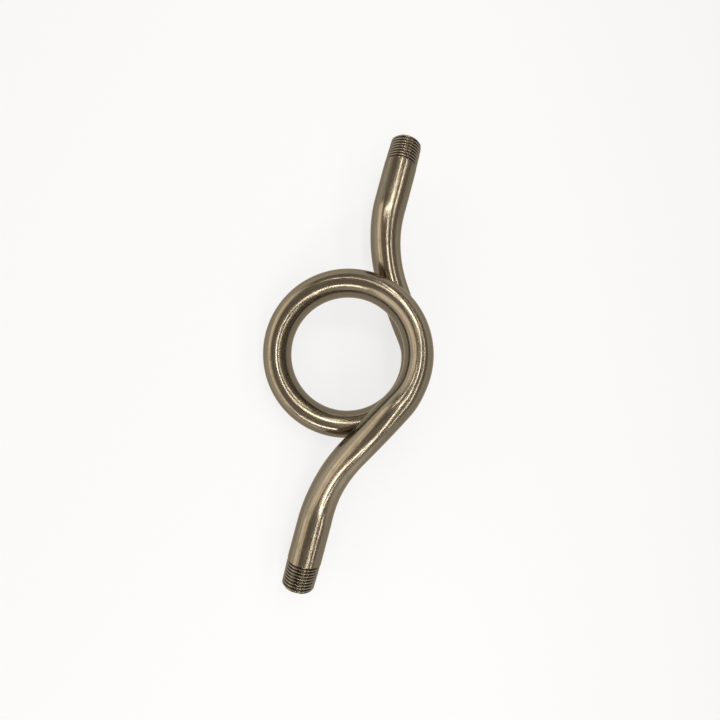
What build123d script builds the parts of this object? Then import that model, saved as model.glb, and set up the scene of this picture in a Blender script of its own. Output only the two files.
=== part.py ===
"""Pressure gauge siphon: one length of half-inch pipe, bent into a coil between two coaxial threaded legs.

The siphon is worked out in its own frame first, with the coil's axis along Z, the legs along Y and the middle
of the coil at the origin. The finished solid is then laid down as it comes to rest on a flat floor.
Lengths are in mm and angles in degrees.
"""
from build123d import *
from dataclasses import dataclass
from math import cos, degrees, radians, sin, sqrt, tan
import os

import numpy as np
from scipy.interpolate import PchipInterpolator
from scipy.spatial import ConvexHull

# Pipe
PIPE_DIAMETER = 21.3
PIPE_WALL = 2.8

# Coil
COIL_RADIUS = 44.7
COIL_PITCH = 28.5
ENTRY_ANGLE = 35.3
EXIT_ANGLE = 28.4

# Legs: the offset of each axis from the coil's middle, and the height of each tip above or below it
UPPER_OFFSET = 2.3
LOWER_OFFSET = 7.9
UPPER_REACH = 144.6
LOWER_REACH = 145.9
UPPER_BEND_RADIUS = 84.5
LOWER_BEND_RADIUS = 99.0

# Flattening: the pipe's width in the plane of the coil, as a share of its diameter
WIDTH_MID_BEND = 0.925
WIDTH_AT_COIL = 0.89
WIDTH_IN_COIL = 0.826
COIL_SETTLE_ANGLE = 18.0

# Thread blank: the stretch behind the taper stays cylindrical, and the thread itself is cut into both
THREAD_LENGTH = 16.0
THREAD_ROOT_LENGTH = 4.0
THREAD_DIAMETER = 20.8
THREAD_TAPER = 1 / 16
TIP_CHAMFER = 1.1
SHOULDER_CHAMFER = 0.15

# Build quality
STATION_SPACING = 8.0
COIL_ARCS = 6
SURFACE_STATIONS = 500
SURFACE_SPOKES = 72

PIPE_RADIUS = PIPE_DIAMETER / 2
BORE_RADIUS = PIPE_RADIUS - PIPE_WALL
COIL_TURNING = 360 + ENTRY_ANGLE + EXIT_ANGLE
ENTRY_DEPTH = -COIL_PITCH * COIL_TURNING / 720


def run_length(leg_offset, bend_radius, turn):
    """The straight stretch between a return bend and the point where the pipe joins the coil."""
    corner_to_coil = (COIL_RADIUS * cos(radians(turn)) - leg_offset) / sin(radians(turn))
    return corner_to_coil - bend_radius * tan(radians(turn / 2))


def bend_start_height(leg_offset, bend_radius, turn):
    """How far above or below the coil's middle a return bend leaves its leg."""
    corner_to_coil = (COIL_RADIUS * cos(radians(turn)) - leg_offset) / sin(radians(turn))
    corner_height = COIL_RADIUS * sin(radians(turn)) + corner_to_coil * cos(radians(turn))
    return corner_height + bend_radius * tan(radians(turn / 2))


UPPER_BEND_START = bend_start_height(UPPER_OFFSET, UPPER_BEND_RADIUS, ENTRY_ANGLE)
LOWER_BEND_START = bend_start_height(LOWER_OFFSET, LOWER_BEND_RADIUS, EXIT_ANGLE)

# The plan of the bent pipe from the upper leg to the lower one: (length, turn to the left over that length)
PLAN = [
    (UPPER_BEND_RADIUS * radians(ENTRY_ANGLE), ENTRY_ANGLE),
    (run_length(UPPER_OFFSET, UPPER_BEND_RADIUS, ENTRY_ANGLE), 0.0),
    (COIL_RADIUS * radians(COIL_TURNING), -COIL_TURNING),
    (run_length(LOWER_OFFSET, LOWER_BEND_RADIUS, EXIT_ANGLE), 0.0),
    (LOWER_BEND_RADIUS * radians(EXIT_ANGLE), EXIT_ANGLE),
]
MARKS = np.cumsum([0.0] + [length for length, _ in PLAN])


@dataclass
class Station:
    """One point of the pipe's centreline with the direction of travel and the flattened section there."""

    point: Vector
    along: Vector
    depth_axis: Vector
    half_width: float
    half_depth: float


def plan_at(distance):
    """The plan position and heading (degrees) at a distance along the bent pipe."""
    x, y, heading = UPPER_OFFSET, UPPER_BEND_START, -90.0
    for length, turn in PLAN:
        step = min(distance, length)
        share = step / length
        if turn == 0:
            x += step * cos(radians(heading))
            y += step * sin(radians(heading))
        else:
            radius = length / radians(turn)
            after = heading + turn * share
            x += radius * (sin(radians(after)) - sin(radians(heading)))
            y -= radius * (cos(radians(after)) - cos(radians(heading)))
            heading = after
        distance -= step
        if distance <= 0:
            break
    return x, y, heading


def depth_at(distance):
    """The centreline's Z and its slope: level on the legs, a steady rise round the coil, an S between them."""
    climb = COIL_PITCH / (2 * np.pi * COIL_RADIUS)
    if MARKS[2] <= distance <= MARKS[3]:
        return ENTRY_DEPTH + climb * (distance - MARKS[2]), climb
    upper = distance < MARKS[2]
    span = MARKS[2] if upper else MARKS[5] - MARKS[3]
    t = distance / span if upper else (MARKS[5] - distance) / span
    level = ENTRY_DEPTH * (3 * t**2 - 2 * t**3) + climb * span * (t**3 - t**2)
    slope = (ENTRY_DEPTH * 6 * (t - t**2) + climb * span * (3 * t**2 - 2 * t)) / span
    return (level, slope) if upper else (-level, slope)


def width_share():
    """The flattening as a smooth function of the distance along the bent pipe."""
    settle = COIL_RADIUS * radians(COIL_SETTLE_ANGLE)
    places = [0, MARKS[1] / 2, MARKS[2], MARKS[2] + settle]
    places += [MARKS[3] - settle, MARKS[3], (MARKS[4] + MARKS[5]) / 2, MARKS[5]]
    shares = [1.0, WIDTH_MID_BEND, WIDTH_AT_COIL, WIDTH_IN_COIL]
    return PchipInterpolator(places, shares + shares[::-1])


WIDTH_SHARE = width_share()


def station(distance):
    """The centreline and section at a distance along the bent pipe; the wall keeps its outline's length."""
    x, y, heading = plan_at(distance)
    z, slope = depth_at(distance)
    along = Vector(cos(radians(heading)), sin(radians(heading)), slope).normalized()
    depth_axis = (Vector(0, 0, 1) - along * along.Z).normalized()
    share = min(1.0, float(WIDTH_SHARE(distance)))
    half_depth = PIPE_RADIUS * sqrt(2 - share**2)
    return Station(Vector(x, y, z), along, depth_axis, PIPE_RADIUS * share, half_depth)


def stretch(inset, start, end):
    """The solid of one piece of the bent pipe, its section drawn in by the inset all round."""
    sections = []
    for distance in np.linspace(start, end, max(5, round((end - start) / STATION_SPACING)) + 1):
        s = station(float(distance))
        plane = Plane(origin=s.point, x_dir=s.depth_axis, z_dir=s.along)
        sections.append(plane * Ellipse(s.half_depth - inset, s.half_width - inset))
    return loft(sections)


def bent_stretch(inset):
    """The solid between the two legs: the bends and runs, with the coil as a chain of shorter arcs."""
    joints = list(MARKS[:2]) + list(np.linspace(MARKS[2], MARKS[3], COIL_ARCS + 1)) + list(MARKS[4:])
    pieces = [stretch(inset, start, end) for start, end in zip(joints, joints[1:])]
    return Part() + pieces


def leg_profile():
    """The leg's outline as (radius, distance back from the tip), from the tip to the end of the shoulder."""
    root = THREAD_DIAMETER / 2
    tip = root - (THREAD_LENGTH - THREAD_ROOT_LENGTH) * THREAD_TAPER / 2
    return [
        (tip - TIP_CHAMFER, 0.0),
        (tip, TIP_CHAMFER),
        (root, THREAD_LENGTH - THREAD_ROOT_LENGTH),
        (root, THREAD_LENGTH),
        (PIPE_RADIUS - SHOULDER_CHAMFER, THREAD_LENGTH),
        (PIPE_RADIUS, THREAD_LENGTH + SHOULDER_CHAMFER),
    ]


def leg(offset, reach, bend_start, side):
    """One straight leg with its thread blank; side is +1 for the upper leg and -1 for the lower one."""
    outline = [(r, side * (reach - back)) for r, back in leg_profile()]
    outline = [(0.0, side * reach)] + outline + [(PIPE_RADIUS, side * bend_start), (0.0, side * bend_start)]
    face = make_face(Polyline(outline, close=True))
    return Pos(offset, 0, 0) * revolve(face, Axis.Y)


def bore(offset, reach, bend_start, side):
    """The straight length of bore inside one leg."""
    length = reach - bend_start
    along_y = Plane(origin=(offset, side * bend_start, 0), x_dir=(0, 0, 1), z_dir=(0, side, 0))
    return extrude(along_y * Circle(BORE_RADIUS), length)


def siphon():
    """The whole siphon in its own frame: one bent tube."""
    upper = (UPPER_OFFSET, UPPER_REACH, UPPER_BEND_START, 1)
    lower = (LOWER_OFFSET, LOWER_REACH, LOWER_BEND_START, -1)
    body = bent_stretch(0.0) + leg(*upper) + leg(*lower)
    return body - bent_stretch(PIPE_WALL) - bore(*upper) - bore(*lower)


def ring_points(centre, first, second, half_first, half_second):
    """Points round one section of the pipe's outside."""
    spokes = np.linspace(0, 2 * np.pi, SURFACE_SPOKES, endpoint=False)
    across = np.outer(np.cos(spokes) * half_first, tuple(first))
    return np.array(tuple(centre)) + across + np.outer(np.sin(spokes) * half_second, tuple(second))


def outside_points():
    """Points over the whole outside of the siphon, in its own frame."""
    rings = []
    for distance in np.linspace(0, MARKS[5], SURFACE_STATIONS):
        s = station(float(distance))
        width_axis = s.along.cross(s.depth_axis)
        rings.append(ring_points(s.point, s.depth_axis, width_axis, s.half_depth, s.half_width))
    for offset, reach, side in ((UPPER_OFFSET, UPPER_REACH, 1), (LOWER_OFFSET, LOWER_REACH, -1)):
        for r, back in leg_profile():
            centre = Vector(offset, side * (reach - back), 0)
            rings.append(ring_points(centre, Vector(0, 0, 1), Vector(1, 0, 0), r, r))
    return np.vstack(rings)


def resting_normal(points, balance):
    """The outward normal of the hull face the siphon rests on, of those nearest to straight down."""
    hull = ConvexHull(points)
    best = None
    for corners, plane in zip(hull.simplices, hull.equations):
        normal = plane[:3]
        foot = balance - (plane[:3] @ balance + plane[3]) * normal
        a, b, c = points[corners]
        sides = [np.cross(b - a, foot - a) @ normal, np.cross(c - b, foot - b) @ normal]
        sides.append(np.cross(a - c, foot - c) @ normal)
        held = all(s >= 0 for s in sides) or all(s <= 0 for s in sides)
        if held and (best is None or normal[2] < best[2]):
            best = normal
    return best


def laid_down(solid):
    """The siphon turned onto the face it rests on, with the floor at Z=0 under the middle of its box."""
    points = outside_points()
    normal = resting_normal(points, np.array(tuple(solid.center(CenterOf.MASS))))
    tip_axis = Vector(*normal).cross(Vector(0, 0, -1))
    angle = degrees(np.arccos(-normal[2]))
    turned = solid.rotate(Axis((0, 0, 0), tip_axis), angle)
    axis = np.array(tuple(tip_axis.normalized()))
    c, s = cos(radians(angle)), sin(radians(angle))
    moved = points * c + np.cross(axis, points) * s + np.outer(points @ axis, axis) * (1 - c)
    low, high = moved.min(axis=0), moved.max(axis=0)
    middle = (low + high) / 2
    print("tip axis", tuple(axis), "angle", angle, "shift", (-middle[0], -middle[1], -low[2]))
    print("box", tuple(high - low))
    return Pos(-middle[0], -middle[1], -low[2]) * turned


def main():
    """Build the siphon, lay it down and write it out."""
    os.makedirs("parts", exist_ok=True)
    tube = laid_down(siphon())
    solids = tube.solids()
    print("solids", len(solids), "volume", tube.volume, "valid", tube.is_valid)
    export_step(solids[0], "parts/siphon_tube.step")


if __name__ == "__main__":
    main()
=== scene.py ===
"""Looks of the pressure gauge siphon: one bent steel pipe, coiled once, with a thread cut on each leg."""
import logging
from dataclasses import dataclass, field
from enum import Enum

import bpy
import numpy as np
from mathutils import Matrix, Vector

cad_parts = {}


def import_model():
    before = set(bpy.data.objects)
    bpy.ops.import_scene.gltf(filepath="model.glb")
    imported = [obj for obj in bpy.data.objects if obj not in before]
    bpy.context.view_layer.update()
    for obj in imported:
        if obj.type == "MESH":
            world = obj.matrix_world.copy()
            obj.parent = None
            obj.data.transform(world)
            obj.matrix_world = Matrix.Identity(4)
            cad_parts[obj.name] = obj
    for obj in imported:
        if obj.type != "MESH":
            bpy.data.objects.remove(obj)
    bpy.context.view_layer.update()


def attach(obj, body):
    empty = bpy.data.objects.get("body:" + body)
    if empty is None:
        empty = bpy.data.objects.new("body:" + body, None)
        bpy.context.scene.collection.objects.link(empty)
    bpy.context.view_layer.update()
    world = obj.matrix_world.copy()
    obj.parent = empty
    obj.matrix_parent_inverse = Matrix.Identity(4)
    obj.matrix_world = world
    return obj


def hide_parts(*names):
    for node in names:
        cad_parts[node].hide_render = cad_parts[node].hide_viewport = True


LOG = logging.getLogger("siphon")
MM = 0.001


class Layer(Enum):
    """Names of the point attributes that the pipe's surface carries for its finish.

    PLACE is the distance along the pipe and the place in its section (mm). FORM is the share of coil, the
    sine of the angle round and whether it is the bore. CUT is the thread's groove and where the thread is.
    """

    PLACE = "pipe_place"
    FORM = "pipe_form"
    CUT = "pipe_cut"


def smooth(values: np.ndarray) -> np.ndarray:
    """Smooth step from 0 to 1: 3t^2 - 2t^3, with t held between 0 and 1."""
    t = np.clip(values, 0.0, 1.0)
    return t * t * (3.0 - 2.0 * t)


def eased(at: np.ndarray, places: np.ndarray, values: np.ndarray) -> np.ndarray:
    """Cubic curve through falling values that never overshoots, level outside them.

    Inside, the slope at a value is a weighted harmonic mean of the slopes beside it. The near end takes the
    first gap's slope, and the far end is level.

    Args:
        at: where to read the curve.
        places: rising places of the values.
        values: the values.
    Returns:
        The curve at each place asked for.
    """
    gaps = np.diff(places)
    secants = np.diff(values) / gaps
    first, second = 2 * gaps[1:] + gaps[:-1], gaps[1:] + 2 * gaps[:-1]
    inner = (first + second) / (first / secants[:-1] + second / secants[1:])
    slopes = np.concatenate([[secants[0]], inner, [0.0]])
    x = np.clip(at, places[0], places[-1])
    k = np.clip(np.searchsorted(places, x, side="right") - 1, 0, len(gaps) - 1)
    t = (x - places[k]) / gaps[k]
    start = values[k] * (1 + 2 * t) * (1 - t) ** 2 + slopes[k] * gaps[k] * t * (1 - t) ** 2
    return start + values[k + 1] * t**2 * (3 - 2 * t) - slopes[k + 1] * gaps[k] * t**2 * (1 - t)


@dataclass(frozen=True)
class Rest:
    """How the siphon lies on its coil and one leg: a turn about a level axis, then a shift (degrees, mm).

    The numbers are the solid model's, which works them out from its hull and its centre of mass.
    """

    axis: tuple[float, float, float] = (0.3579384807, -0.9337451708, 0.0)
    angle: float = 8.9108350236
    shift: tuple[float, float, float] = (-0.9886771487, 0.6695676616, 21.9873503684)

    def matrix(self) -> np.ndarray:
        """The turn: 1 + sin a K + (1 - cos a) K^2, with K the cross product by the axis.

        Returns:
            A 3x3 matrix.
        """
        x, y, z = self.axis
        k = np.array([[0.0, -z, y], [z, 0.0, -x], [-y, x, 0.0]])
        a = np.radians(self.angle)
        return np.eye(3) + np.sin(a) * k + (1.0 - np.cos(a)) * k @ k

    def place(self, points: np.ndarray) -> np.ndarray:
        """Points of the siphon's own frame (mm) as they lie on the floor, in metres.

        Args:
            points: array whose last axis is x, y, z.
        Returns:
            The same array, turned, shifted and scaled.
        """
        return (points @ self.matrix().T + np.array(self.shift)) * MM


@dataclass(frozen=True)
class Route:
    """The pipe's centreline in the siphon's own frame: coil axis along Z, legs along Y (mm, degrees)."""

    coil_radius: float = 44.7
    coil_pitch: float = 28.5
    entry_angle: float = 35.3
    exit_angle: float = 28.4
    upper_offset: float = 2.3
    lower_offset: float = 7.9
    upper_reach: float = 144.6
    lower_reach: float = 145.9
    upper_bend: float = 84.5
    lower_bend: float = 99.0

    def corner(self, offset: float, turn: float) -> tuple[float, float]:
        """The leg's axis meets the coil's tangent at a corner.

        Args:
            offset: the leg's distance from the coil's middle.
            turn: the angle between leg and tangent.
        Returns:
            The corner's distance to the tangent point, and its height.
        """
        a = np.radians(turn)
        run = (self.coil_radius * np.cos(a) - offset) / np.sin(a)
        return run, self.coil_radius * np.sin(a) + run * np.cos(a)

    def bend_start(self, upper: bool) -> float:
        """Height at which a return bend leaves its leg: corner height + bend radius x tan(turn / 2).

        Args:
            upper: whether it is the upper leg.
        Returns:
            The distance from the coil's middle along the leg.
        """
        offset = self.upper_offset if upper else self.lower_offset
        turn = self.entry_angle if upper else self.exit_angle
        bend = self.upper_bend if upper else self.lower_bend
        return self.corner(offset, turn)[1] + bend * np.tan(np.radians(turn / 2))

    def plan(self) -> list[tuple[float, float]]:
        """The bent pipe in plan: bend, straight run, coil, straight run and bend.

        Returns:
            Each one's length and its turn to the left in degrees.
        """
        turning = 360.0 + self.entry_angle + self.exit_angle
        pieces = [(self.upper_bend * np.radians(self.entry_angle), self.entry_angle)]
        run = self.corner(self.upper_offset, self.entry_angle)[0]
        pieces.append((run - self.upper_bend * np.tan(np.radians(self.entry_angle / 2)), 0.0))
        pieces.append((self.coil_radius * np.radians(turning), -turning))
        run = self.corner(self.lower_offset, self.exit_angle)[0]
        pieces.append((run - self.lower_bend * np.tan(np.radians(self.exit_angle / 2)), 0.0))
        pieces.append((self.lower_bend * np.radians(self.exit_angle), self.exit_angle))
        return pieces

    def marks(self) -> np.ndarray:
        """Distances along the bent pipe at which its pieces meet."""
        return np.cumsum([0.0] + [length for length, _ in self.plan()])

    def span(self) -> tuple[float, float]:
        """Distances of the upper and the lower tip, counted from the upper bend's start."""
        upper = -(self.upper_reach - self.bend_start(True))
        return upper, float(self.marks()[-1]) + self.lower_reach - self.bend_start(False)

    def flat(self, distance: np.ndarray) -> tuple[np.ndarray, np.ndarray, np.ndarray]:
        """Plan place and heading; an arc adds r (sin h2 - sin h1) to x and r (cos h1 - cos h2) to y.

        Args:
            distance: distances along the pipe.
        Returns:
            x, y and heading in radians.
        """
        heading = np.full_like(distance, np.radians(-90.0))
        x = np.full_like(distance, self.upper_offset)
        y = self.bend_start(True) + np.maximum(-distance, 0.0)
        start = 0.0
        for length, turn in self.plan():
            step = np.clip(distance - start, 0.0, length)
            if turn == 0.0:
                x = x + step * np.cos(heading)
                y = y + step * np.sin(heading)
            else:
                radius = length / np.radians(turn)
                after = heading + step / radius
                x = x + radius * (np.sin(after) - np.sin(heading))
                y = y - radius * (np.cos(after) - np.cos(heading))
                heading = after
            start += length
        return x, y - np.maximum(distance - start, 0.0), heading

    def level(self, distance: np.ndarray) -> tuple[np.ndarray, np.ndarray]:
        """Height and slope: a steady rise round the coil, and a cubic S from each end of it to a level leg.

        Args:
            distance: distances along the pipe.
        Returns:
            z and dz/ds.
        """
        _, _, coil_start, coil_end, _, end = self.marks()
        climb = self.coil_pitch / (2.0 * np.pi * self.coil_radius)
        depth = -climb * (coil_end - coil_start) / 2.0

        def cubic(t: np.ndarray, length: float) -> tuple[np.ndarray, np.ndarray]:
            """Hermite cubic from 0 and level to the coil's depth and climb.

            Args:
                t: share of the way from the leg to the coil.
                length: the way's length.
            Returns:
                Height and slope.
            """
            z = depth * (3 * t**2 - 2 * t**3) + climb * length * (t**3 - t**2)
            dz = (depth * 6 * (t - t**2) + climb * length * (3 * t**2 - 2 * t)) / length
            return z, dz

        way = end - coil_end
        upper, upper_slope = cubic(np.clip(distance / coil_start, 0.0, 1.0), coil_start)
        lower, lower_slope = cubic(np.clip((end - distance) / way, 0.0, 1.0), way)
        on_coil = (distance >= coil_start) & (distance <= coil_end)
        z = np.where(distance < coil_start, upper, -lower)
        slope = np.where(distance < coil_start, upper_slope, lower_slope)
        z = np.where(on_coil, depth + climb * (distance - coil_start), z)
        return z, np.where(on_coil, climb, slope)

    def frames(self, distance: np.ndarray) -> tuple[np.ndarray, np.ndarray, np.ndarray]:
        """Centre, depth axis (Z less its part along the pipe) and width axis (along x depth).

        Args:
            distance: distances along the pipe.
        Returns:
            Three arrays of shape (n, 3).
        """
        x, y, heading = self.flat(distance)
        z, slope = self.level(distance)
        along = np.stack([np.cos(heading), np.sin(heading), slope], axis=-1)
        along /= np.linalg.norm(along, axis=-1, keepdims=True)
        depth = np.array([0.0, 0.0, 1.0]) - along * along[:, 2:3]
        depth /= np.linalg.norm(depth, axis=-1, keepdims=True)
        return np.stack([x, y, z], axis=-1), depth, np.cross(along, depth)


@dataclass(frozen=True)
class Thread:
    """The taper pipe thread at each tip, in mm.

    The flats are shares of half a pitch, and rounding is how far the flank is eased into them. The groove
    runs out over the fade, which ends clear of the thread's own end.
    """

    length: float = 16.0
    root_length: float = 4.0
    diameter: float = 20.8
    taper: float = 1 / 16
    pitch: float = 1.814
    depth: float = 1.1
    chamfer: float = 1.1
    shoulder: float = 0.15
    clear: float = 0.05
    fade: float = 0.3
    crest_flat: float = 0.13
    root_flat: float = 0.10
    rounding: float = 0.35

    def crest(self, back: np.ndarray) -> np.ndarray:
        """Crest radius at a distance back from the tip: it falls by half the taper per mm outwards."""
        outward = np.maximum(self.length - self.root_length - back, 0.0)
        return self.diameter / 2 - outward * self.taper / 2

    def groove(self, turns: np.ndarray) -> np.ndarray:
        """Depth of the V: |2 frac - 1| cut off at the crest's and root's flats, its flank partly eased.

        Args:
            turns: place in turns of the thread.
        Returns:
            The depth as a share, 0 on the crest and 1 in the root.
        """
        wave = np.abs(2.0 * (turns - np.floor(turns)) - 1.0)
        flank = (wave - self.crest_flat) / (1.0 - self.crest_flat - self.root_flat)
        return smooth(flank) * self.rounding + np.clip(flank, 0.0, 1.0) * (1.0 - self.rounding)


@dataclass
class SiphonPipe:
    """The siphon's one piece: outside and bore as one closed surface over (distance along, angle round).

    Sizes are in mm and degrees. The shares are the section's width over the diameter in the bends, where the
    coil starts and inside it, where it settles over coil_settle degrees. The margins and ring counts say
    where the mesh's rings stand, and crease is the least angle that stays a sharp edge.
    """

    route: Route = field(default_factory=Route)
    thread: Thread = field(default_factory=Thread)
    rest: Rest = field(default_factory=Rest)
    radius: float = 10.65
    wall: float = 2.8
    bend_share: float = 0.925
    start_share: float = 0.89
    coil_share: float = 0.826
    coil_settle: float = 18.0
    coil_ease: float = 30.0
    bore_flare: float = 0.35
    bore_margin: float = 3.0
    shoulder_rings: tuple[float, ...] = (-0.001, 0.001, 0.15, 1.0, 1.8)
    leg_margin: float = 3.5
    rings_per_pitch: int = 12
    rings_upper_leg: int = 14
    rings_lower_leg: int = 16
    rings_bent: int = 430
    rings_bore: int = 130
    spokes: int = 96
    crease: float = 32.0

    def share(self, distance: np.ndarray) -> np.ndarray:
        """Width over diameter, eased through its values at the bend's middle, the coil's start and in it.

        Args:
            distance: distances along the pipe.
        Returns:
            The share, 1 on the legs.
        """
        _, bend_end, coil_start, coil_end, bend_start, end = self.route.marks()
        settle = self.route.coil_radius * np.radians(self.coil_settle)
        values = np.array([1.0, self.bend_share, self.start_share, self.coil_share])
        from_upper = np.array([0.0, bend_end / 2, coil_start, coil_start + settle])
        from_lower = np.array([0.0, (end - bend_start) / 2, end - coil_end, end - coil_end + settle])
        upper = eased(distance, from_upper, values)
        lower = eased(end - distance, from_lower, values)
        return np.where(distance < end / 2, upper, lower)

    def section(self, distance: np.ndarray) -> tuple[np.ndarray, np.ndarray]:
        """Half depth and half width of the rolled section, which keeps width^2 + depth^2 = 2 radius^2."""
        share = self.share(distance)
        return self.radius * np.sqrt(2.0 - share**2), self.radius * share

    def coiled(self, distance: np.ndarray) -> np.ndarray:
        """1 along the coil and 0 on the return bends and legs, eased between them.

        Args:
            distance: distances along the pipe.
        Returns:
            The share of coil at each.
        """
        _, bend_end, _, _, bend_start, _ = self.route.marks()
        begun = smooth((distance - bend_end) / self.coil_ease)
        return begun * smooth((bend_start - distance) / self.coil_ease)

    def tip_radius(self) -> float:
        """The flat end's outer radius, inside the chamfer."""
        return float(self.thread.crest(np.array(0.0))) - self.thread.chamfer

    def outside(self, distance: np.ndarray, angle: np.ndarray) -> tuple[np.ndarray, ...]:
        """Half depth and half width of the outside, with the thread cut in near both tips.

        On a thread the radius is the crest less the groove, never above the tip's 45 degree chamfer. Behind
        it the pipe rises from a small shoulder to its own section.

        Args:
            distance: distances along, shape (n, 1).
            angle: angles round, shape (1, k).
        Returns:
            Half depth, half width, groove share and thread share, each of shape (n, k).
        """
        thread = self.thread
        first, last = self.route.span()
        back = np.minimum(distance - first, last - distance)
        on_thread = back < thread.length
        fade = smooth((thread.length - thread.clear - back) / thread.fade)
        groove = thread.groove(distance / thread.pitch - angle / (2.0 * np.pi)) * fade
        radius = np.minimum(thread.crest(back) - thread.depth * groove, self.tip_radius() + back)
        step = thread.shoulder - np.clip(back - thread.length, 0.0, thread.shoulder)
        depth, width = (np.where(on_thread, radius, half - step) for half in self.section(distance))
        return depth, width, groove * on_thread, on_thread * np.ones_like(groove)

    def outside_rows(self) -> np.ndarray:
        """Distances of the outside's rings: close on the threads, at the shoulders and round the coil.

        Returns:
            Rising distances along the pipe.
        """
        first, last = self.route.span()
        end = self.route.marks()[-1]
        thread = self.thread
        cut = np.arange(0.0, thread.length - thread.clear, thread.pitch / self.rings_per_pitch)
        tip = np.concatenate([cut, thread.length + np.array(self.shoulder_rings)])
        leg = thread.length + self.leg_margin
        upper = np.linspace(first + leg, 0.0, self.rings_upper_leg)
        lower = np.linspace(last - leg, end, self.rings_lower_leg)
        bent = np.linspace(0.0, end, self.rings_bent)[1:-1]
        return np.unique(np.round(np.concatenate([first + tip, upper, bent, lower, last - tip]), 6))

    def bore(self) -> tuple[np.ndarray, np.ndarray, np.ndarray]:
        """The bore from the lower tip back to the upper one: the section less the wall, flared at the tips.

        Returns:
            Falling distances of shape (n,), and half depth and half width of shape (n, 1).
        """
        first, last = self.route.span()
        flare = self.bore_flare
        even = np.linspace(first + self.bore_margin, last - self.bore_margin, self.rings_bore)
        distance = np.unique(np.concatenate([[first, first + flare, last - flare, last], even]))[::-1]
        opened = np.clip(flare - np.minimum(distance - first, last - distance), 0.0, flare)[:, None]
        depth, width = (half - self.wall + opened for half in self.section(distance[:, None]))
        return distance, depth, width

    def ring(
        self, distance: np.ndarray, depth: np.ndarray, width: np.ndarray, angle: np.ndarray
    ) -> np.ndarray:
        """Points centre + depth cos(angle) D + width sin(angle) W.

        Args:
            distance: shape (n,).
            depth: half depth, shape (n, k).
            width: half width, shape (n, k).
            angle: shape (1, k).
        Returns:
            Points of shape (n, k, 3) in the siphon's own frame.
        """
        centre, first, second = self.route.frames(distance)
        points = centre[:, None, :] + first[:, None, :] * (depth * np.cos(angle))[..., None]
        return points + second[:, None, :] * (width * np.sin(angle))[..., None]

    def build(self) -> bpy.types.Object:
        """Make the piece: the outside's rings, then the bore's on the way back, closed into a loop.

        Returns:
            The new object with its three point attributes.
        """
        angle = np.linspace(0.0, 2.0 * np.pi, self.spokes, endpoint=False)[None, :]
        out = self.outside_rows()
        back, bore_depth, bore_width = self.bore()
        distance = np.concatenate([out, back])
        blank = np.zeros((len(back), self.spokes))
        bored = (bore_depth + blank, bore_width + blank, blank, blank)
        shell = self.outside(out[:, None], angle)
        depth, width, groove, threaded = (np.vstack(pair) for pair in zip(shell, bored))
        mesh = self.mesh_from_grid(self.rest.place(self.ring(distance, depth, width, angle)))
        full = np.ones_like(depth)
        inside = (np.arange(len(distance)) >= len(out))[:, None]
        layers = {
            Layer.PLACE: (distance[:, None] * full, depth * np.cos(angle), width * np.sin(angle)),
            Layer.FORM: (self.coiled(distance)[:, None] * full, np.sin(angle) * full, inside * full),
            Layer.CUT: (groove, threaded, np.zeros_like(full)),
        }
        for layer, values in layers.items():
            attribute = mesh.attributes.new(layer.value, "FLOAT_VECTOR", "POINT")
            attribute.data.foreach_set("vector", np.stack(values, axis=-1).astype(np.float32).ravel())
        piece = bpy.data.objects.new("siphon_pipe", mesh)
        bpy.context.scene.collection.objects.link(piece)
        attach(piece, "root")
        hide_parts("siphon_tube")
        return piece

    def mesh_from_grid(self, points: np.ndarray) -> bpy.types.Mesh:
        """A closed grid as a mesh: each quad joins ring i and ring i + 1, both ways round modulo the size.

        Args:
            points: vertices of shape (rings, spokes, 3).
        Returns:
            The mesh, smooth but for its creases.
        """
        rings, spokes = points.shape[:2]
        i, j = np.meshgrid(np.arange(rings), np.arange(spokes), indexing="ij")
        ahead, beside = (i + 1) % rings, (j + 1) % spokes
        corners = (i * spokes + j, i * spokes + beside, ahead * spokes + beside, ahead * spokes + j)
        mesh = bpy.data.meshes.new("siphon_pipe")
        mesh.from_pydata(points.reshape(-1, 3), [], np.stack(corners, axis=-1).reshape(-1, 4).tolist())
        mesh.polygons.foreach_set("use_smooth", np.ones(rings * spokes, dtype=bool))
        mesh.set_sharp_from_angle(angle=float(np.radians(self.crease)))
        mesh.update()
        return mesh


class Socket:
    """A shader value that Python's operators add Math nodes to."""

    def __init__(self, shader: "Shader", link: bpy.types.NodeSocket | float) -> None:
        """Hold the shader and an output socket or a number."""
        self.shader = shader
        self.link = link

    def combine(self, operation: str, other: "Socket | float", swap: bool = False) -> "Socket":
        """A Math node on this value and another.

        Args:
            operation: the Math node's operation.
            other: the second value.
            swap: whether the other value comes first.
        Returns:
            The result.
        """
        pair = [self, other][::-1] if swap else [self, other]
        node = self.shader.node("ShaderNodeMath", {"operation": operation}, dict(enumerate(pair)))
        return Socket(self.shader, node.outputs[0])

    def __add__(self, other: "Socket | float") -> "Socket":
        """Sum."""
        return self.combine("ADD", other)

    __radd__ = __add__

    def __sub__(self, other: "Socket | float") -> "Socket":
        """Difference."""
        return self.combine("SUBTRACT", other)

    def __rsub__(self, other: float) -> "Socket":
        """Difference from a number."""
        return self.combine("SUBTRACT", other, swap=True)

    def __mul__(self, other: "Socket | float") -> "Socket":
        """Product."""
        return self.combine("MULTIPLY", other)

    __rmul__ = __mul__

    def power(self, exponent: float) -> "Socket":
        """This value raised to a power."""
        return self.combine("POWER", exponent)

    def absolute(self) -> "Socket":
        """The value without its sign."""
        return self.combine("ABSOLUTE", 0.0)

    def ramp(self, low: float, high: float) -> "Socket":
        """0 below low, 1 above high and a smooth rise between them.

        Args:
            low: where the rise starts.
            high: where it ends.
        Returns:
            The new value.
        """
        settings = {"interpolation_type": "SMOOTHSTEP"}
        node = self.shader.node("ShaderNodeMapRange", settings, {0: self, 1: low, 2: high, 3: 0.0, 4: 1.0})
        return Socket(self.shader, node.outputs[0])


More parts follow.
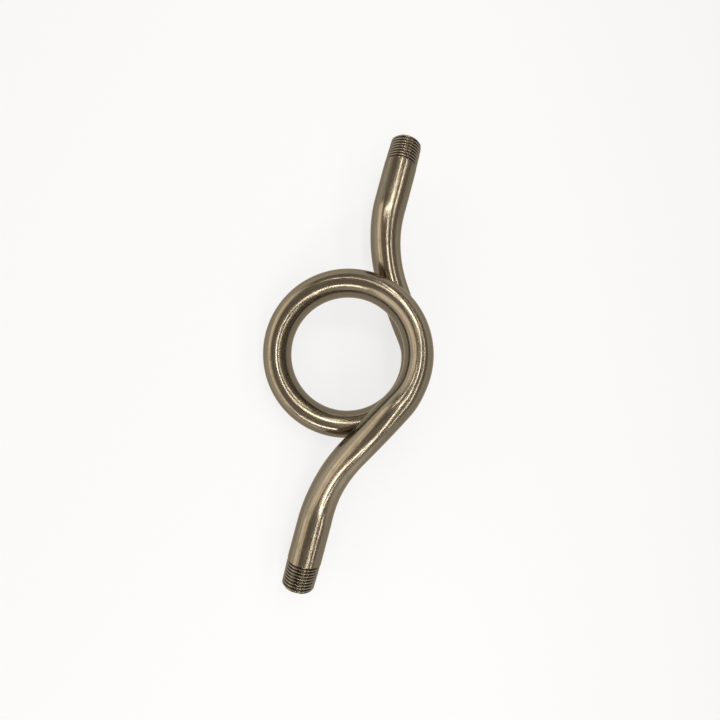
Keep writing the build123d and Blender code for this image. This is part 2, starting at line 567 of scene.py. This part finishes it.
class Shader:
    """The node tree of a material or world, with one method that makes every node."""

    def __init__(self, owner: bpy.types.Material | bpy.types.World) -> None:
        """Empty the owner's node tree.

        Args:
            owner: the new material or world.
        """
        owner.use_nodes = True
        self.tree = owner.node_tree
        self.tree.nodes.clear()

    def node(self, kind: str, settings: dict, values: dict) -> bpy.types.Node:
        """Add a node, set its settings first and then the values or links of its sockets.

        Args:
            kind: the node's type.
            settings: attribute names and values.
            values: input names or numbers, with a number, tuple, Socket or output for each.
        Returns:
            The node.
        """
        made = self.tree.nodes.new(kind)
        for key, value in settings.items():
            setattr(made, key, value)
        for key, value in values.items():
            value = value.link if isinstance(value, Socket) else value
            if isinstance(value, bpy.types.NodeSocket):
                self.tree.links.new(value, made.inputs[key])
            else:
                made.inputs[key].default_value = value
        return made

    def attribute(self, layer: Layer) -> bpy.types.NodeSocket:
        """The vector of a point attribute."""
        return self.node("ShaderNodeAttribute", {"attribute_name": layer.value}, {}).outputs["Vector"]

    def parts(self, vector: bpy.types.NodeSocket) -> list[Socket]:
        """The three numbers of a vector."""
        return [Socket(self, out) for out in self.node("ShaderNodeSeparateXYZ", {}, {0: vector}).outputs]

    def noise(
        self, vector: bpy.types.NodeSocket, stretch: tuple[float, float, float], detail: float
    ) -> Socket:
        """Noise on stretched coordinates.

        Args:
            vector: the coordinates.
            stretch: waves per mm along the pipe and across it.
            detail: octaves.
        Returns:
            The noise, about 0.25 to 0.75.
        """
        scaled = self.node("ShaderNodeVectorMath", {"operation": "MULTIPLY"}, {0: vector, 1: stretch})
        values = {"Vector": scaled.outputs[0], "Scale": 1.0, "Detail": detail, "Roughness": 0.6}
        made = self.node("ShaderNodeTexNoise", {}, values)
        return Socket(self, made.outputs["Fac"])

    def blend(self, factor: Socket, first: object, second: object) -> bpy.types.NodeSocket:
        """Two colours mixed by a factor."""
        values = {0: factor, 6: first, 7: second}
        return self.node("ShaderNodeMix", {"data_type": "RGBA", "clamp_factor": True}, values).outputs[2]


@dataclass(frozen=True)
class DrawnSteel:
    """Drawn stainless pipe: bright crowns, painted shade on the flanks, grain along it, bending marks on the
    coil.

    The colours are linear. The first three run from crown to flank, the last being painted shade with some
    stain.
    The fourth is specks of dirt and painted shade in thread grooves and bore, cut is the freshly cut thread,
    and edge tints the reflection at a glancing angle.
    """

    bright: tuple[float, float, float, float] = (0.37, 0.315, 0.232, 1.0)
    middle: tuple[float, float, float, float] = (0.25, 0.21, 0.153, 1.0)
    flank_shade_and_stain: tuple[float, float, float, float] = (0.18, 0.15, 0.107, 1.0)
    grime_and_shade: tuple[float, float, float, float] = (0.055, 0.045, 0.035, 1.0)
    cut: tuple[float, float, float, float] = (0.27, 0.24, 0.20, 1.0)
    edge: tuple[float, float, float, float] = (0.72, 0.66, 0.57, 1.0)

    def material(self) -> bpy.types.Material:
        """Patterns along the pipe in waves per mm, then tone, roughness and fine relief from them.

        Returns:
            The finished material.
        """
        material = bpy.data.materials.new("drawn_steel")
        shader = Shader(material)
        place = shader.attribute(Layer.PLACE)
        coiled, flank, inside = shader.parts(shader.attribute(Layer.FORM))
        groove, threaded = shader.parts(shader.attribute(Layer.CUT))[:2]
        grain = shader.noise(place, (0.035, 1.9, 1.9), 4.0)
        fine = shader.noise(place, (0.4, 7.0, 7.0), 2.0)
        drawn = shader.noise(place, (0.010, 0.75, 0.75), 2.0)
        across = shader.noise(place, (1.5, 0.10, 0.10), 3.0)
        patch = shader.noise(place, (0.035, 0.09, 0.09), 3.0)
        stain = shader.noise(place, (0.16, 0.28, 0.28), 5.0)
        speck = shader.noise(place, (1.1, 1.3, 1.3), 3.0)

        plain = 1.0 - threaded
        marks = across.ramp(0.52, 0.66) * patch.ramp(0.42, 0.62) * coiled * plain
        # Painted shade: masks by the angle round that darken both flanks of the section, more so on the
        # coil's outer and inner flanks.
        side = flank.absolute().ramp(0.55, 0.86)
        outer = (0.0 - flank).ramp(0.32, 0.62) * coiled
        inner = flank.ramp(0.35, 0.95) * coiled

        # Real wear and painted shade: grain, drawing streaks, bending marks and stains, with the flanks and
        # the thread's grooves pushed towards the middle tone as painted shade.
        wear_and_shade = side * 0.5 + grain.ramp(0.4, 0.62) * 0.4 + drawn.ramp(0.42, 0.6) * 0.42
        wear_and_shade = (wear_and_shade + marks * 0.35 + stain.ramp(0.50, 0.72) * 0.28) * plain + groove * 0.5
        # Painted shade on the flanks, threads included, and on the coil's outer and inner flanks, plus
        # darker stains.
        dim = side * 0.9 * (1.0 - threaded * 0.2) + outer * 0.55 + inner * 0.15
        dim = dim + stain.ramp(0.60, 0.75) * 0.2
        colour = shader.blend(wear_and_shade.ramp(0.0, 0.95), self.bright, self.middle)
        colour = shader.blend(threaded * 0.55, colour, self.cut)
        # Painted shade: the flanks take the darkest colour.
        colour = shader.blend(dim, colour, self.flank_shade_and_stain)
        # Specks of dirt.
        colour = shader.blend(speck.ramp(0.66, 0.74) * 0.6 * plain, colour, self.grime_and_shade)
        # Painted shade: the thread's grooves darkened.
        colour = shader.blend(groove.power(2.5) * 0.85, colour, self.grime_and_shade)
        # Painted shade: the inside of the bore darkened.
        colour = shader.blend(inside * 0.6, colour, self.grime_and_shade)

        rough = 0.14 + grain.ramp(0.3, 0.7) * 0.09 + stain.ramp(0.45, 0.7) * 0.08
        rough = rough + marks * 0.08 + inside * 0.2
        height = drawn * 1.2 + grain * 0.22 + fine * 0.03 + across * coiled * plain * 0.09
        height = height + patch * plain * 0.15 + stain * 0.06
        relief = {"Strength": 0.4, "Distance": 0.00012, "Height": height}
        normal = shader.node("ShaderNodeBump", {}, relief).outputs[0]
        values = {"Base Color": colour, "Metallic": 1.0, "Roughness": rough}
        values |= {"Normal": normal, "Specular Tint": self.edge}
        body = shader.node("ShaderNodeBsdfPrincipled", {}, values)
        shader.node("ShaderNodeOutputMaterial", {}, {0: body.outputs[0]})
        return material


@dataclass(frozen=True)
class Lamp:
    """A rectangular soft lamp: degrees right of and above the line of sight, metres away, size, radiance."""

    name: str
    right: float
    high: float
    distance: float
    size: tuple[float, float]
    radiance: float
    colour: tuple[float, float, float] = (1.0, 0.985, 0.96)

    def build(self, to_room: np.ndarray, middle: np.ndarray) -> None:
        """Place the lamp.

        Args:
            to_room: columns are the line of sight's right, up and back in the room.
            middle: the point that the lamp faces.
        """
        a, b = np.radians([self.right, self.high])
        back = np.array([np.sin(a) * np.cos(b), np.sin(b), np.cos(a) * np.cos(b)])
        right = np.cross([0.0, 1.0, 0.0], back)
        right /= np.linalg.norm(right)
        turn = to_room @ np.stack([right, np.cross(back, right), back], axis=-1)
        data = bpy.data.lights.new(self.name, "AREA")
        data.shape = "RECTANGLE"
        data.size, data.size_y = self.size
        data.energy = float(self.radiance * np.pi * self.size[0] * self.size[1])
        data.color = self.colour
        lamp = bpy.data.objects.new(self.name, data)
        bpy.context.scene.collection.objects.link(lamp)
        lamp.visible_camera = False
        spot = middle + to_room @ back * self.distance
        lamp.matrix_world = Matrix.Translation(Vector(spot.tolist())) @ Matrix(turn.tolist()).to_4x4()


@dataclass
class Studio:
    """White floor, soft lamps and the camera looking down along the coil's axis.

    The camera's place is in its own axes and in mm. Lean, tip and side are the turns that give those axes.
    """

    rest: Rest = field(default_factory=Rest)
    camera_place: tuple[float, float, float] = (8.75, -3.32, 255.6)
    lean: float = 14.92
    tip: float = 2.99
    side: float = -3.42
    lens: float = 20.0
    sensor: float = 36.0
    nearest: float = 0.01
    horizon: tuple[float, float, float, float] = (0.80, 0.79, 0.77, 1.0)
    ceiling: tuple[float, float, float, float] = (0.25, 0.225, 0.195, 1.0)
    floor_colour: tuple[float, float, float, float] = (0.92, 0.925, 0.93, 1.0)
    floor_reach: float = 4.0
    whiteness: float = 0.74

    def view_axes(self) -> np.ndarray:
        """The camera's axes in the siphon's own frame: a turn about Y, then X, then Z.

        Returns:
            A 3x3 matrix whose rows are right, up and back.
        """
        a, b, c = np.radians([-self.lean, -self.tip, self.side])
        lean = np.array([[np.cos(a), -np.sin(a), 0.0], [np.sin(a), np.cos(a), 0.0], [0.0, 0.0, 1.0]])
        tip = np.array([[1.0, 0.0, 0.0], [0.0, np.cos(b), -np.sin(b)], [0.0, np.sin(b), np.cos(b)]])
        side = np.array([[np.cos(c), 0.0, np.sin(c)], [0.0, 1.0, 0.0], [-np.sin(c), 0.0, np.cos(c)]])
        return lean @ tip @ side

    def camera(self) -> None:
        """Place the camera and make it the scene's own."""
        axes = self.view_axes()
        spot = self.rest.place(np.array(self.camera_place) @ axes)
        turn = self.rest.matrix() @ axes.T
        data = bpy.data.cameras.new("camera")
        data.lens = self.lens
        data.sensor_width = self.sensor
        data.clip_start = self.nearest
        viewer = bpy.data.objects.new("camera", data)
        bpy.context.scene.collection.objects.link(viewer)
        viewer.matrix_world = Matrix.Translation(Vector(spot.tolist())) @ Matrix(turn.tolist()).to_4x4()
        bpy.context.scene.camera = viewer

    def lamps(self) -> None:
        """Two long thin strips at the right, a short one above, one below and a dim warm panel at the left.

        They all face the siphon. A lamp's power is its radiance x pi x its area.
        """
        lamps = (
            Lamp("strip_near", right=15.0, high=0.0, distance=0.37, size=(0.028, 1.3), radiance=8.4),
            Lamp("strip_far", right=45.0, high=0.0, distance=0.8, size=(0.05, 1.7), radiance=6.2),
            Lamp("strip_high", right=0.0, high=29.0, distance=0.8, size=(0.6, 0.085), radiance=5.6),
            Lamp("strip_low", right=-18.0, high=-48.0, distance=0.8, size=(0.6, 0.06), radiance=11.0),
            Lamp("panel_left", -56.0, 0.0, 0.9, (0.5, 1.5), radiance=1.15, colour=(1.0, 0.91, 0.78)),
        )
        to_room = self.rest.matrix() @ self.view_axes().T
        middle = self.rest.place(np.zeros(3))
        for lamp in lamps:
            lamp.build(to_room, middle)

    def floor(self) -> None:
        """A wide flat floor, mostly plain white where it is looked at, with a soft shadow left on it."""
        corners = np.array([[-1.0, -1.0, 0.0], [1.0, -1.0, 0.0], [1.0, 1.0, 0.0], [-1.0, 1.0, 0.0]])
        mesh = bpy.data.meshes.new("floor")
        mesh.from_pydata(corners * self.floor_reach, [], [[0, 1, 2, 3]])
        ground = bpy.data.objects.new("floor", mesh)
        bpy.context.scene.collection.objects.link(ground)
        material = bpy.data.materials.new("floor")
        shader = Shader(material)
        body = shader.node("ShaderNodeBsdfDiffuse", {}, {"Color": self.floor_colour})
        white = shader.node("ShaderNodeEmission", {}, {"Color": (1.0, 1.0, 1.0, 1.0), "Strength": 1.0})
        rays = shader.node("ShaderNodeLightPath", {}, {}).outputs
        kinds = ("Is Camera Ray", "Is Glossy Ray", "Is Transmission Ray")
        camera, glossy, clear = (Socket(shader, rays[kind]) for kind in kinds)
        shaders = {0: (camera + glossy + clear) * self.whiteness, 1: body.outputs[0], 2: white.outputs[0]}
        mixed = shader.node("ShaderNodeMixShader", {}, shaders)
        shader.node("ShaderNodeOutputMaterial", {}, {0: mixed.outputs[0]})
        mesh.materials.append(material)

    def world(self) -> None:
        """Pale walls that darken smoothly into a dim ceiling, by the height of the direction looked in."""
        world = bpy.data.worlds.new("studio")
        shader = Shader(world)
        direction = shader.node("ShaderNodeTexCoord", {}, {}).outputs["Generated"]
        height = shader.parts(direction)[2]
        colour = shader.blend(height.ramp(0.08, 0.42), self.horizon, self.ceiling)
        back = shader.node("ShaderNodeBackground", {}, {"Color": colour})
        shader.node("ShaderNodeOutputWorld", {}, {0: back.outputs[0]})
        bpy.context.scene.world = world

    def build(self) -> None:
        """Set up the whole studio."""
        self.world()
        self.floor()
        self.lamps()
        self.camera()
        bpy.context.scene.view_settings.view_transform = "Standard"


def main() -> None:
    """Build the pipe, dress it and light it."""
    logging.basicConfig(level=logging.INFO)
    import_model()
    pipe = SiphonPipe()
    piece = pipe.build()
    piece.data.materials.append(DrawnSteel().material())
    LOG.info("%s: %d faces", piece.name, len(piece.data.polygons))
    Studio().build()


if __name__ == "__main__":
    main()
